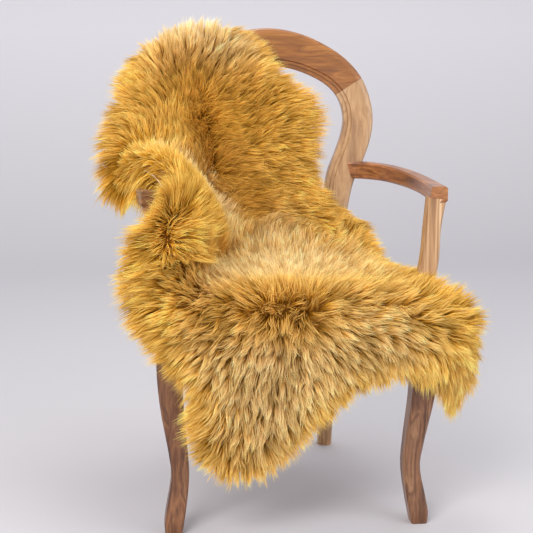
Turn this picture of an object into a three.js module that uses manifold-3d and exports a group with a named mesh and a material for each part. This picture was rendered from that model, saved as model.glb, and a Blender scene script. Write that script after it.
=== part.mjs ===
// A long-wool sheepskin rug draped over a wooden chair with a balloon back and open arms.
// The fleece hangs over the top of the back, lies down its front and over the seat, climbs over the arm
// on -X and falls over the seat's front edge in two lobes, the hide's leg flaps.
// Millimetres, +Z up. The chair faces -Y, and its middle plane is x = 0 until the last lines of this file
// put the origin on the floor under the middle of the whole.
import * as THREE from "three";
import { mergeVertices } from "three/addons/utils/BufferGeometryUtils.js";
import Module from "manifold-3d";

const wasm = await Module();
wasm.setup();

// Driving sizes of the chair
const SEAT_TOP = 452; // top of the seat board
const BOARD = 12; // thickness of the seat board
const SEAT_FRONT = -247; // y of the board's front edge
const SEAT_BACK = 186; // y of the board's back edge, just ahead of the stiles
const BOARD_FRONT_HALF = 236; // half the board's width at its front edge
const BOARD_BACK_HALF = 150; // and at its back edge
const RAIL_DEEP = 58; // height of the seat rails
const RAIL_THICK = 24;
const FOOT_X = 250; // front feet, from the middle plane
const FOOT_Y = -231; // and how far forward they stand
const BACK_THICK = 30; // thickness of the back frame, front to back
const JOINT_GAP = 0.3; // between two wooden pieces that are glued together
const SOLE_CUT = 8; // the legs are drawn this far below the floor, then cut flat at it
const EASED = 4; // chamfer along the edges of arms, legs and rails
const FRONT_RAIL_OUT = 8; // how far the front rail stands ahead of the middle of the feet
const BEAD = 9; // width of the bead along the back frame's inner edge, and of the step beside it
const BEAD_DROP = 3.5; // how far the face steps down beside the bead, and again at the edge
const ROUND_IN = 12; // the back frame's rounded outer edge, across the face
const ROUND_DOWN = 9; // and down the side
const BACK_ROUND = 6; // chamfer behind that edge
const BACK_EASED = 3; // and behind the inner edge
const STEPS = { stile: 48, crest: 44, arm: 24, leg: 22, post: 12, rail: 1 }; // rings along each limb

// Driving sizes of the fleece
const WOOL = 46; // length of the wool, from the hide to its tips
const RIM_LOCK = 14; // how much further the locks reach along the hide's edge
const LUMP = 4; // how far the wool's surface rises and falls
const CLEAR = 4; // no lock comes nearer than this to the frame's limbs
const SEATED = 0.9; // the hide's skin side rests this close to the middle of the seat board
const ROWS = 54; // steps along the hide, from the neck to the tail
const COLUMNS = 34; // steps across it
const RIM_REACH = 75; // the wool starts to lean outwards this far inside the edge
const RIM_LEAN = 68; // degrees that it leans at the edge
const FOLD_FILL = 0.72; // in a hollow fold the wool reaches this share of the way to the fold's middle
const RIM_UNEVEN = 0.45; // share of the rim locks' reach that differs from lock to lock
const RIM_BEAT = 2.4; // radians from one rim lock to the next
const REACH_STEP = 3; // spacing of the places where a lock's way is tested for wood
// The wool's surface waves, in millimetres along and across the hide, and their shares of LUMP. The broad
// waves' lines wander to and fro.
const BROAD = { along: 23, across: 19, share: 0.75, wander: 1.9, wanderOver: 61, sway: 1.3, swayOver: 47 };
const FINE = { along: 9.5, alongSlant: 14, across: 8, acrossSlant: 31, share: 0.4 };

const WALNUT = new THREE.MeshStandardMaterial({ color: 0x9a6a42, roughness: 0.42, metalness: 0 });
const GOLDEN_WOOL = new THREE.MeshStandardMaterial({ color: 0xd2a04a, roughness: 0.9, metalness: 0 });

const at = (x, y, z) => new THREE.Vector3(x, y, z);

// A three.js geometry as a solid that can be joined and cut.
function solid(geometry) {
  const bare = geometry.clone();
  bare.deleteAttribute("normal");
  bare.deleteAttribute("uv");
  const merged = mergeVertices(bare, 1e-3);
  return new wasm.Manifold(new wasm.Mesh({
    numProp: 3,
    vertProperties: new Float32Array(merged.attributes.position.array),
    triVerts: new Uint32Array(merged.index.array),
  }));
}

// The largest body of a solid, back as a three.js geometry.
function geometryOf(body) {
  const largest = body.decompose().reduce((best, next) => (next.volume() > best.volume() ? next : best));
  const { numProp, vertProperties, triVerts } = largest.getMesh();
  const positions = [];
  for (let i = 0; i < vertProperties.length; i += numProp) {
    positions.push(...vertProperties.subarray(i, i + 3));
  }
  const geometry = new THREE.BufferGeometry();
  geometry.setAttribute("position", new THREE.Float32BufferAttribute(positions, 3));
  geometry.setIndex([...triVerts]);
  geometry.computeVertexNormals();
  return geometry;
}

// A closed skin over rings of points, with a flat cap at each end.
function skinOver(rings) {
  const around = rings[0].length;
  const positions = rings.flat().flatMap((p) => [p.x, p.y, p.z]);
  const faces = [];
  for (let i = 0; i + 1 < rings.length; i++) {
    for (let j = 0; j < around; j++) {
      const next = (j + 1) % around;
      const [a, b] = [i * around + j, i * around + next];
      faces.push(a, b, b + around, a, b + around, a + around);
    }
  }
  const cap = (ring, start, flip) => {
    const middle = ring.reduce((sum, p) => sum.add(p), at(0, 0, 0)).divideScalar(around);
    const centre = positions.length / 3;
    positions.push(middle.x, middle.y, middle.z);
    for (let j = 0; j < around; j++) {
      const [a, b] = [start + j, start + ((j + 1) % around)];
      faces.push(centre, ...(flip ? [b, a] : [a, b]));
    }
  };
  cap(rings[0], 0, true);
  cap(rings.at(-1), (rings.length - 1) * around, false);
  const geometry = new THREE.BufferGeometry();
  geometry.setAttribute("position", new THREE.Float32BufferAttribute(positions, 3));
  geometry.setIndex(faces);
  return geometry;
}

// A rectangle with chamfered corners, as points [across, up].
function easedSection(wide, deep) {
  const [w, d] = [wide / 2, deep / 2];
  return [
    [w, -d + EASED], [w, d - EASED], [w - EASED, d], [-w + EASED, d],
    [-w, d - EASED], [-w, -d + EASED], [-w + EASED, -d], [w - EASED, -d],
  ];
}

// The back frame's section: a rounded outer edge, and a bead between two steps along the inner edge.
function mouldedSection(wide, deep) {
  const [w, d] = [wide / 2, deep / 2];
  const bead = -w + BEAD;
  const face = bead + BEAD;
  const low = d - 2 * BEAD_DROP;
  return [
    [w, -d + BACK_ROUND], [w, d - ROUND_DOWN], [w - ROUND_IN / 3, d - ROUND_DOWN / 3], [w - ROUND_IN, d],
    [face, d], [face - 2, d - BEAD_DROP], [bead + 1, d - BEAD_DROP], [bead, low],
    [-w + 1, low], [-w, low - 1], [-w, -d + BACK_EASED], [-w + BACK_EASED, -d], [w - BACK_ROUND, -d],
  ];
}

// The section turned over, so that the bead stays on the inner edge of the stile on +X.
function flippedSection(wide, deep) {
  return mouldedSection(wide, deep).map(([u, v]) => [-u, v]).reverse();
}

// Sweeps a section through rows of {x, y, z, wide, deep}. "face" is the way its deep side looks.
function sweep(rows, face, section, steps, grow = 0) {
  const path = new THREE.CatmullRomCurve3(rows.map((r) => at(r.x, r.y, r.z)));
  const sizes = new THREE.CatmullRomCurve3(rows.map((r) => at(r.wide, r.deep, 0)));
  const rings = [];
  for (let i = 0; i <= steps; i++) {
    const t = i / steps;
    const [centre, size, along] = [path.getPoint(t), sizes.getPoint(t), path.getTangent(t)];
    const side = face.clone().cross(along).normalize();
    const up = along.clone().cross(side);
    rings.push(section(size.x + 2 * grow, size.y + 2 * grow).map(([u, v]) =>
      centre.clone().addScaledVector(side, u).addScaledVector(up, v)));
  }
  return solid(skinOver(rings)).trimByPlane([0, 0, 1], 0);
}

const FRONT = at(0, -1, 0);
const UP = at(0, 0, 1);
const mirrored = (rows) => rows.map((r) => ({ ...r, x: -r.x }));

// Rows that each wooden limb is swept through, for the side on +X.
const STILE = [
  { x: 141, y: 273, z: -SOLE_CUT, wide: 32, deep: 30 },
  { x: 141, y: 246, z: 140, wide: 34, deep: 34 },
  { x: 141, y: 218, z: 310, wide: 38, deep: 38 },
  { x: 141, y: 207, z: 455, wide: 44, deep: 36 },
  { x: 148, y: 212, z: 560, wide: 54, deep: BACK_THICK },
  { x: 164, y: 226, z: 654, wide: 64, deep: BACK_THICK },
  { x: 185, y: 234, z: 702, wide: 67, deep: BACK_THICK },
  { x: 201, y: 241, z: 745, wide: 68, deep: BACK_THICK },
  { x: 208, y: 247, z: 785, wide: 68, deep: BACK_THICK },
  { x: 203, y: 254, z: 825, wide: 68, deep: BACK_THICK },
  { x: 188, y: 260, z: 861, wide: 70, deep: BACK_THICK },
  { x: 160, y: 267, z: 893, wide: 73, deep: BACK_THICK },
];
const CREST = [
  { x: -203, y: 254, z: 825, wide: 68, deep: BACK_THICK },
  { x: -188, y: 260, z: 861, wide: 70, deep: BACK_THICK },
  { x: -160, y: 267, z: 893, wide: 73, deep: BACK_THICK },
  { x: -118, y: 273, z: 920, wide: 77, deep: BACK_THICK },
  { x: -62, y: 278, z: 942, wide: 82, deep: BACK_THICK },
  { x: 0, y: 280, z: 950, wide: 86, deep: BACK_THICK },
  { x: 62, y: 278, z: 942, wide: 82, deep: BACK_THICK },
  { x: 118, y: 273, z: 920, wide: 77, deep: BACK_THICK },
  { x: 160, y: 267, z: 893, wide: 73, deep: BACK_THICK },
  { x: 188, y: 260, z: 861, wide: 70, deep: BACK_THICK },
  { x: 203, y: 254, z: 825, wide: 68, deep: BACK_THICK },
];
const ARM = [
  { x: 172, y: 236, z: 672, wide: 30, deep: 38 },
  { x: 215, y: 214, z: 673, wide: 30, deep: 38 },
  { x: 258, y: 172, z: 671, wide: 30, deep: 36 },
  { x: 288, y: 96, z: 667, wide: 30, deep: 34 },
  { x: 300, y: 0, z: 664, wide: 30, deep: 32 },
  { x: 296, y: -105, z: 664, wide: 31, deep: 32 },
  { x: 284, y: -206, z: 668, wide: 33, deep: 32 },
];
const POST = [
  { x: 281, y: -190, z: 660, wide: 36, deep: 34 },
  { x: 274, y: -189, z: 600, wide: 32, deep: 32 },
  { x: 271, y: -189, z: 545, wide: 34, deep: 32 },
  { x: 262, y: -190, z: 485, wide: 36, deep: 33 },
  { x: 254, y: -191, z: 420, wide: 36, deep: 34 },
];
// "out" is how far the leg stands out from its foot, towards its own corner of the seat.
const FRONT_LEG = [
  { out: 0, z: -SOLE_CUT, wide: 30 },
  { out: -2, z: 22, wide: 38 },
  { out: -7, z: 52, wide: 38 },
  { out: -16, z: 115, wide: 35 },
  { out: -12, z: 170, wide: 38 },
  { out: 0, z: 270, wide: 46 },
  { out: 3, z: 340, wide: 50 },
  { out: 0, z: SEAT_TOP - BOARD - JOINT_GAP, wide: 50 },
].map(({ out, z, wide }) => ({ x: FOOT_X + out, y: FOOT_Y - out, z, wide, deep: wide }));

const JOINT = STILE.at(-2);
const pieces = new Map();
const grown = new Map();

// Keeps a swept limb under its name, with a copy that is larger by the joint gap to cut its neighbours.
function keep(name, rows, face, section, steps, cutters = []) {
  let body = sweep(rows, face, section, steps);
  for (const cutter of cutters) {
    body = body.subtract(grown.get(cutter));
  }
  pieces.set(name, body);
  grown.set(name, sweep(rows, face, section, steps, JOINT_GAP));
}

// Cuts a piece of the back frame square to its curve where crest and stile meet, on one side of the chair.
function cutAtJoint(name, sign, keepsCrest) {
  const joint = at(sign * JOINT.x, JOINT.y, JOINT.z);
  const [before, after] = [STILE.at(-3), STILE.at(-1)];
  const way = at(sign * (after.x - before.x), after.y - before.y, after.z - before.z);
  way.normalize().multiplyScalar(keepsCrest ? 1 : -1);
  pieces.set(name, pieces.get(name).trimByPlane(way.toArray(), way.dot(joint) + JOINT_GAP / 2));
}

function addBackFrame() {
  keep("stile_right", STILE, FRONT, flippedSection, STEPS.stile);
  keep("stile_left", mirrored(STILE), FRONT, mouldedSection, STEPS.stile);
  keep("crest_rail", CREST, FRONT, mouldedSection, STEPS.crest);
  for (const [side, sign] of [["right", 1], ["left", -1]]) {
    cutAtJoint(`stile_${side}`, sign, false);
    cutAtJoint("crest_rail", sign, true);
  }
}

function addArms() {
  for (const [side, turned] of [["right", (rows) => rows], ["left", mirrored]]) {
    keep(`arm_${side}`, turned(ARM), UP, easedSection, STEPS.arm, [`stile_${side}`]);
    keep(`front_leg_${side}`, turned(FRONT_LEG), FRONT, easedSection, STEPS.leg);
  }
}

// A straight rail between two points, with an upright section.
function beam(from, to, wide, deep) {
  const rows = [0, 1].map((t) => {
    const p = from.clone().lerp(to, t);
    return { x: p.x, y: p.y, z: p.z, wide, deep };
  });
  return [rows, UP, easedSection, STEPS.rail];
}

function addSeat() {
  const z = SEAT_TOP - BOARD - JOINT_GAP - RAIL_DEEP / 2;
  const legs = ["front_leg_right", "front_leg_left", "stile_right", "stile_left"];
  const rail = (name, from, to, cutters) => keep(name, ...beam(from, to, RAIL_THICK, RAIL_DEEP), cutters);
  const { x: backX, y: backY } = STILE[3];
  const frontY = FOOT_Y - FRONT_RAIL_OUT;
  rail("front_rail", at(-FOOT_X, frontY, z), at(FOOT_X, frontY, z), legs);
  rail("back_rail", at(-backX, backY, z), at(backX, backY, z), legs);
  for (const [side, sign] of [["right", 1], ["left", -1]]) {
    const [from, to] = [at(sign * FOOT_X, FOOT_Y, z), at(sign * backX, backY, z)];
    rail(`side_rail_${side}`, from, to, [...legs, "front_rail"]);
  }
  const outline = new THREE.Shape([
    new THREE.Vector2(-BOARD_FRONT_HALF, SEAT_FRONT), new THREE.Vector2(BOARD_FRONT_HALF, SEAT_FRONT),
    new THREE.Vector2(BOARD_BACK_HALF, SEAT_BACK), new THREE.Vector2(-BOARD_BACK_HALF, SEAT_BACK),
  ]);
  const board = new THREE.ExtrudeGeometry(outline, { depth: BOARD, bevelEnabled: false });
  board.translate(0, 0, SEAT_TOP - BOARD);
  pieces.set("seat_board", solid(board));
}

function addPosts() {
  for (const [side, turned] of [["right", (rows) => rows], ["left", mirrored]]) {
    const cutters = [`arm_${side}`, `side_rail_${side}`, `front_leg_${side}`];
    keep(`arm_post_${side}`, turned(POST), FRONT, easedSection, STEPS.post, cutters);
  }
}

// The way that the hide takes over the chair, seen from the side and just off the wood: over the crest,
// down the back, round into the seat, over the front rail and down.
const SIDE_VIEW = new THREE.CatmullRomCurve3([
  at(0, 300, 985), at(0, 281, 999), at(0, 262, 985), at(0, 252, 930), at(0, 236, 850),
  at(0, 223, 780), at(0, 207, 690), at(0, 193, 610), at(0, 172, 540), at(0, 130, 486),
  at(0, 70, 462), at(0, 10, SEAT_TOP + 3), at(0, -50, SEAT_TOP + SEATED), at(0, -130, SEAT_TOP + SEATED),
  at(0, -226, SEAT_TOP + 6), at(0, -256, SEAT_TOP), at(0, -269, SEAT_TOP - 38), at(0, -274, 330),
  at(0, -275, 230), at(0, -275, 120),
]);
SIDE_VIEW.arcLengthDivisions = 800;
const SIDE_VIEW_LENGTH = SIDE_VIEW.getLength();
const on = (x, down, lift = 0) => {
  const t = down / SIDE_VIEW_LENGTH;
  const p = SIDE_VIEW.getPointAt(t);
  const along = SIDE_VIEW.getTangentAt(t);
  const off = at(0, -along.z, along.y).negate();
  return at(x, p.y + lift * off.y, p.z + lift * off.z);
};

// The hide, as lines across it from the neck to the tail. "on" is a point of the side view, by its x, its
// way down from the crest and its lift off the chair. "at" is where the hide hangs clear, as [x, y, z].
const SECTIONS = [
  {
    part: "neck", left: at(-218, 318, 884), fold: at(-196, 316, 876), dip: at(-178, 315, 872),
    middle: at(-158, 315, 870), side: at(-142, 315, 872), corner: at(-128, 315, 878),
    right: at(-116, 316, 886),
  },
  {
    part: "crest back", left: at(-250, 306, 920), fold: at(-222, 306, 935), dip: at(-192, 306, 947),
    middle: at(-164, 306, 955), side: at(-144, 306, 960), corner: at(-128, 306, 963),
    right: at(-112, 307, 965),
  },
  {
    part: "crest top", left: at(-268, 274, 913), fold: at(-232, 273, 937), dip: at(-197, 274, 953),
    middle: at(-163, 276, 963), side: at(-140, 277, 969), corner: at(-126, 278, 973),
    right: at(-113, 278, 975),
  },
  {
    part: "crest edge", left: at(-280, 257, 898), fold: at(-240, 256, 923), dip: at(-199, 254, 940),
    middle: at(-159, 254, 952), side: at(-128, 256, 963), corner: at(-110, 257, 969),
    right: at(-90, 258, 977),
  },
  {
    part: "crest front", left: at(-290, 240, 875), fold: at(-244, 237, 902), dip: at(-197, 237, 917),
    middle: at(-146, 245, 927), side: at(-106, 250, 933), corner: at(-80, 252, 937),
    right: at(-56, 254, 942),
  },
  {
    part: "shoulder", left: at(-312, 190, 815), fold: at(-258, 208, 832), dip: on(-190, 162, 3),
    middle: on(-120, 154), side: on(-72, 150), corner: on(-46, 149),
    right: on(-24, 148),
  },
  {
    part: "back", left: at(-332, 132, 752), fold: at(-272, 156, 774), dip: on(-180, 232, 6),
    middle: on(-98, 226), side: on(-28, 224), corner: on(18, 223),
    right: on(60, 222),
  },
  {
    part: "arm root", left: at(-338, 80, 697), fold: at(-278, 108, 722), dip: on(-162, 300, 20),
    middle: on(-80, 294, 2), side: on(-10, 292), corner: on(30, 293),
    right: on(66, 294),
  },
  {
    part: "fore leg", left: at(-330, 18, 664), fold: at(-286, 40, 714), dip: at(-150, 140, 650),
    middle: on(-62, 358, 6), side: on(0, 360), corner: on(32, 361),
    right: on(62, 362),
  },
  {
    part: "notch", left: at(-290, -104, 711), fold: at(-250, -72, 711), dip: at(-136, 98, 590),
    middle: on(-44, 432, 10), side: on(20, 434, 4), corner: on(54, 430, 3),
    right: on(86, 424, 3),
  },
  {
    part: "seat corner", left: at(-254, -230, 665), fold: at(-212, -178, 645), dip: at(-118, 40, 522),
    middle: on(-20, 510, 8), side: on(72, 512, 4), corner: on(126, 508, 4),
    right: on(176, 500, 8),
  },
  {
    part: "elbow", left: at(-284, -234, 596), fold: at(-236, -222, 602), dip: at(-140, -30, 500),
    middle: on(-8, 600, 5), side: on(90, 600, 3), corner: on(150, 600, 3),
    right: on(206, 598, 5),
  },
  {
    part: "seat", left: at(-302, -246, 528), fold: at(-244, -248, 546), dip: at(-158, -130, 484),
    middle: on(0, 735, 2), side: on(100, 730), corner: on(166, 728, 1),
    right: on(218, 722, 8),
  },
  {
    part: "seat front", left: at(-296, -260, 472), fold: at(-238, -264, 488), dip: at(-150, -218, 476),
    middle: on(0, 860, 5), side: on(104, 856, 3), corner: on(182, 850, 3),
    right: at(224, -160, 474),
  },
  {
    part: "front lip", left: at(-282, -268, 438), fold: at(-222, -274, 450), dip: at(-138, -264, 458),
    middle: on(2, 964, 3), side: on(112, 962, 3), corner: at(200, -268, 456),
    right: at(242, -236, 474),
  },
  {
    part: "front edge", left: at(-246, -276, 398), fold: at(-196, -281, 404), dip: at(-124, -279, 410),
    middle: at(4, -276, 414), side: at(122, -275, 412), corner: at(250, -282, 414),
    right: at(313, -252, 438),
  },
  {
    part: "apron", left: at(-190, -284, 328), fold: at(-154, -286, 334), dip: at(-96, -284, 346),
    middle: at(8, -281, 360), side: at(124, -278, 374), corner: at(264, -276, 378),
    right: at(338, -214, 374),
  },
  {
    part: "hind legs", left: at(-186, -284, 248), fold: at(-146, -286, 238), dip: at(-84, -285, 250),
    middle: at(12, -283, 306), side: at(122, -278, 352), corner: at(264, -276, 358),
    right: at(342, -186, 314),
  },
  {
    part: "tail", left: at(-172, -282, 188), fold: at(-138, -284, 163), dip: at(-82, -284, 174),
    middle: at(22, -283, 272), side: at(122, -277, 342), corner: at(260, -275, 350),
    right: at(326, -182, 264),
  },
];
const ACROSS = ["left", "fold", "dip", "middle", "side", "corner", "right"];

// The hide's skin side, as a grid of points [row][column].
function hideGrid() {
  const lengthwise = ACROSS.map((name) => new THREE.CatmullRomCurve3(SECTIONS.map((s) => s[name])));
  return Array.from({ length: ROWS + 1 }, (_, i) => {
    const line = new THREE.CatmullRomCurve3(lengthwise.map((curve) => curve.getPoint(i / ROWS)));
    return Array.from({ length: COLUMNS + 1 }, (_, j) => line.getPoint(j / COLUMNS));
  });
}

// Wooden limbs that the wool must not enter, as the rows that each is swept through and the way it faces.
const LIMBS = [
  { rows: CREST, face: FRONT },
  ...[[POST, FRONT], [ARM, UP], [FRONT_LEG, FRONT], [STILE, FRONT]].flatMap(([rows, face]) =>
    [{ rows, face }, { rows: mirrored(rows), face }]),
];

// How far a point is from the nearest wooden limb's surface.
function roomAt(p) {
  let room = Infinity;
  for (const { rows, face } of LIMBS) {
    for (let i = 0; i + 1 < rows.length; i++) {
      const axis = new THREE.Line3(...[rows[i], rows[i + 1]].map((r) => at(r.x, r.y, r.z)));
      const t = axis.closestPointToPointParameter(p, true);
      const off = p.clone().sub(axis.at(t, at(0, 0, 0)));
      const deepOff = Math.abs(off.dot(face));
      const wideOff = Math.sqrt(Math.max(off.lengthSq() - deepOff ** 2, 0));
      const outDeep = Math.max(deepOff - THREE.MathUtils.lerp(rows[i].deep, rows[i + 1].deep, t) / 2, 0);
      const outWide = Math.max(wideOff - THREE.MathUtils.lerp(rows[i].wide, rows[i + 1].wide, t) / 2, 0);
      room = Math.min(room, Math.hypot(outDeep, outWide));
    }
  }
  return room;
}

// The wool's tip: from a point of the hide, as far along "way" as is wanted and the wood leaves room for.
function tipFrom(root, way, wanted) {
  let reach = REACH_STEP;
  const start = roomAt(root);
  const free = (room) => room > CLEAR || room > start;
  while (reach < wanted && free(roomAt(root.clone().addScaledVector(way, reach + REACH_STEP)))) {
    reach += REACH_STEP;
  }
  return root.clone().addScaledVector(way, Math.min(reach, wanted));
}

const smooth = (x) => {
  const t = Math.min(Math.max(x, 0), 1);
  return t * t * (3 - 2 * t);
};

// Rise and fall of the wool, in locks that lie along the hide.
function lumpAt(along, across) {
  const wander = BROAD.wander * Math.sin(across / BROAD.wanderOver);
  const sway = BROAD.sway * Math.sin(along / BROAD.swayOver);
  const broad = Math.sin(along / BROAD.along + wander) * Math.sin(across / BROAD.across + sway);
  const slanted = Math.sin(across / FINE.across - along / FINE.acrossSlant);
  const fine = Math.sin(along / FINE.along + across / FINE.alongSlant) * slanted;
  return LUMP * (BROAD.share * broad + FINE.share * fine);
}

function addFleece() {
  const hide = hideGrid();
  const point = (i, j) => hide[Math.min(Math.max(i, 0), ROWS)][Math.min(Math.max(j, 0), COLUMNS)];
  const lengthAlong = (from, to, column) => {
    let sum = 0;
    for (let i = from; i < to; i++) {
      sum += point(i, column).distanceTo(point(i + 1, column));
    }
    return sum;
  };
  const lengthAcross = (from, to, row) => {
    let sum = 0;
    for (let j = from; j < to; j++) {
      sum += point(row, j).distanceTo(point(row, j + 1));
    }
    return sum;
  };
  // The way the wool stands at each point: square to the hide, and leaning outwards near its edge.
  const lean = Math.tan(THREE.MathUtils.degToRad(RIM_LEAN));
  const ways = hide.map((line, i) => line.map((_, j) => {
    const along = point(i + 1, j).clone().sub(point(i - 1, j)).normalize();
    const across = point(i, j + 1).clone().sub(point(i, j - 1)).normalize();
    const way = along.clone().cross(across).normalize();
    const pull = (distance) => lean * (1 - smooth(distance / RIM_REACH));
    way.addScaledVector(along, pull(lengthAlong(i, ROWS, j)) - pull(lengthAlong(0, i, j)));
    way.addScaledVector(across, pull(lengthAcross(j, COLUMNS, i)) - pull(lengthAcross(0, j, i)));
    return way.normalize();
  }));
  // In a hollow fold the wool is pressed short, so that its two sides don't meet.
  const pressed = hide.map((line, i) => line.map((_, j) => {
    const bend = (di, dj) => {
      const [i0, i1] = [Math.max(i - di, 0), Math.min(i + di, ROWS)];
      const [j0, j1] = [Math.max(j - dj, 0), Math.min(j + dj, COLUMNS)];
      const chord = hide[i1][j1].clone().sub(hide[i0][j0]);
      return -ways[i1][j1].clone().sub(ways[i0][j0]).dot(chord) / chord.lengthSq();
    };
    const hollow = Math.max(bend(1, 0), bend(0, 1), 1e-6);
    return Math.min(WOOL, FOLD_FILL / hollow);
  }));
  const eased = (grid) => grid.map((line, i) => line.map((_, j) => {
    const pick = (a, b) => grid[Math.min(Math.max(a, 0), ROWS)][Math.min(Math.max(b, 0), COLUMNS)];
    return (2 * pick(i, j) + pick(i - 1, j) + pick(i + 1, j) + pick(i, j - 1) + pick(i, j + 1)) / 6;
  }));
  const lengths = eased(eased(pressed));
  const tips = hide.map((line, i) => line.map((root, j) => {
    const lump = lumpAt(lengthAlong(0, i, j), lengthAcross(0, j, i));
    return tipFrom(root, ways[i][j], lengths[i][j] + lump);
  }));

  const positions = [...hide.flat(), ...tips.flat()];
  const width = COLUMNS + 1;
  const under = (i, j) => i * width + j;
  const over = (i, j) => hide.length * width + under(i, j);
  const faces = [];
  for (let i = 0; i < ROWS; i++) {
    for (let j = 0; j < COLUMNS; j++) {
      const corners = [[i, j], [i + 1, j], [i + 1, j + 1], [i, j + 1]];
      const [a, b, c, d] = corners.map(([m, n]) => over(m, n));
      const [e, f, g, h] = corners.map(([m, n]) => under(m, n));
      faces.push(a, b, c, a, c, d, e, g, f, e, h, g);
    }
  }
  // The rim: one four-sided lock to each step of the edge, all the way round.
  const edge = [
    ...Array.from({ length: ROWS }, (_, i) => [i, 0]),
    ...Array.from({ length: COLUMNS }, (_, j) => [ROWS, j]),
    ...Array.from({ length: ROWS }, (_, i) => [ROWS - i, COLUMNS]),
    ...Array.from({ length: COLUMNS }, (_, j) => [0, COLUMNS - j]),
  ];
  edge.forEach(([i, j], k) => {
    const [m, n] = edge[(k + 1) % edge.length];
    const root = hide[i][j].clone().lerp(hide[m][n], 0.5);
    const rimTip = tips[i][j].clone().lerp(tips[m][n], 0.5);
    const outward = rimTip.clone().sub(root);
    const skin = ways[i][j].clone().cross(hide[m][n].clone().sub(hide[i][j])).normalize().negate();
    const way = outward.normalize().add(skin).normalize();
    const wanted = WOOL + RIM_LOCK * (1 - RIM_UNEVEN + RIM_UNEVEN * Math.sin(RIM_BEAT * k));
    positions.push(tipFrom(root, way, wanted));
    const apex = positions.length - 1;
    const [a, b, c, d] = [over(i, j), over(m, n), under(m, n), under(i, j)];
    faces.push(b, a, apex, c, b, apex, d, c, apex, a, d, apex);
  });
  const geometry = new THREE.BufferGeometry();
  const numbers = positions.flatMap((p) => [p.x, p.y, p.z]);
  geometry.setAttribute("position", new THREE.Float32BufferAttribute(numbers, 3));
  geometry.setIndex(faces);
  pieces.set("fleece", solid(geometry));
}

addBackFrame();
addArms();
addSeat();
addPosts();
addFleece();

const chairWithRug = new THREE.Group();
for (const [name, body] of pieces) {
  const mesh = new THREE.Mesh(geometryOf(body), name === "fleece" ? GOLDEN_WOOL : WALNUT);
  mesh.name = name;
  chairWithRug.add(mesh);
}
const middle = new THREE.Box3().setFromObject(chairWithRug).getCenter(at(0, 0, 0));
chairWithRug.position.set(-middle.x, -middle.y, 0);

export default chairWithRug;
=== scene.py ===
# A long-wool sheepskin rug draped over a wooden chair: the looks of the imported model.
# The hide's shape follows the same table of sections as the solid. Lengths in the tables are millimetres.
import math

import bpy
import numpy as np
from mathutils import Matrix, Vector
from mathutils.kdtree import KDTree


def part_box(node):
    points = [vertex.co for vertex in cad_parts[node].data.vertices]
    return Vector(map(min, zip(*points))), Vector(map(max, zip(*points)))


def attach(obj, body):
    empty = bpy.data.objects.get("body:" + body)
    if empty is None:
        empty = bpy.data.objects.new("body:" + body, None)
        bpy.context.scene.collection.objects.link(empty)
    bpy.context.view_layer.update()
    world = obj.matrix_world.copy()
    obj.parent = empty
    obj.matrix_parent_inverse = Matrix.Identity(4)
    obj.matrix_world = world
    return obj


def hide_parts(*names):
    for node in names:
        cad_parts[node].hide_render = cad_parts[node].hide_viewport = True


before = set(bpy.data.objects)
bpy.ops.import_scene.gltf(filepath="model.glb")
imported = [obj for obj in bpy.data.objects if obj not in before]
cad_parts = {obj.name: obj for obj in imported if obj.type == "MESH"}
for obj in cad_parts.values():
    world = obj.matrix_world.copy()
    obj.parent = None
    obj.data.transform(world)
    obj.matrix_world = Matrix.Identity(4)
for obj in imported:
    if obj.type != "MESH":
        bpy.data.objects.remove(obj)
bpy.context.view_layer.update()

MM = 0.001
SEAT_TOP = 452.0
SEAT_FRONT = -247.0
ROWS, COLUMNS = 216, 136  # fine grid of the hide
COARSE = 4  # cells of the grid over which its hollows are measured

# Where the chair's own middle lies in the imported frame: its stiles are mirror images, and its board starts at
# SEAT_FRONT.
left_box, right_box, board_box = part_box("stile_left"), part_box("stile_right"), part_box("seat_board")
SHIFT = np.array([
    (left_box[0][0] + right_box[1][0]) / 2,
    board_box[0][1] - SEAT_FRONT * MM,
    0.0,
])

# Camera
AZIMUTH, ELEVATION, DISTANCE = math.radians(-7.0), math.radians(10.6), 2.6
TARGET = Vector((-0.034, 0.0, 0.493)) + Vector(SHIFT)
FOCAL_PIXELS, PICTURE_PIXELS, SENSOR, CLIP_END = 1222.0, 533.0, 36.0, 60.0
toward = Vector((
    math.sin(AZIMUTH) * math.cos(ELEVATION),
    -math.cos(AZIMUTH) * math.cos(ELEVATION),
    math.sin(ELEVATION),
))
camera = bpy.data.objects.new("camera", bpy.data.cameras.new("camera"))
camera.data.sensor_width = SENSOR
camera.data.lens = FOCAL_PIXELS / PICTURE_PIXELS * SENSOR
camera.data.clip_end = CLIP_END
camera.location = TARGET + toward * DISTANCE
camera.rotation_euler = toward.to_track_quat("Z", "Y").to_euler()
bpy.context.scene.collection.objects.link(camera)
bpy.context.scene.camera = camera


def linear(red, green, blue):
    """A colour as a screen shows it, 0 to 255, as linear light."""
    c = np.array([red, green, blue]) / 255.0
    return np.where(c <= 0.04045, c / 12.92, ((c + 0.055) / 1.055) ** 2.4)


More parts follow.
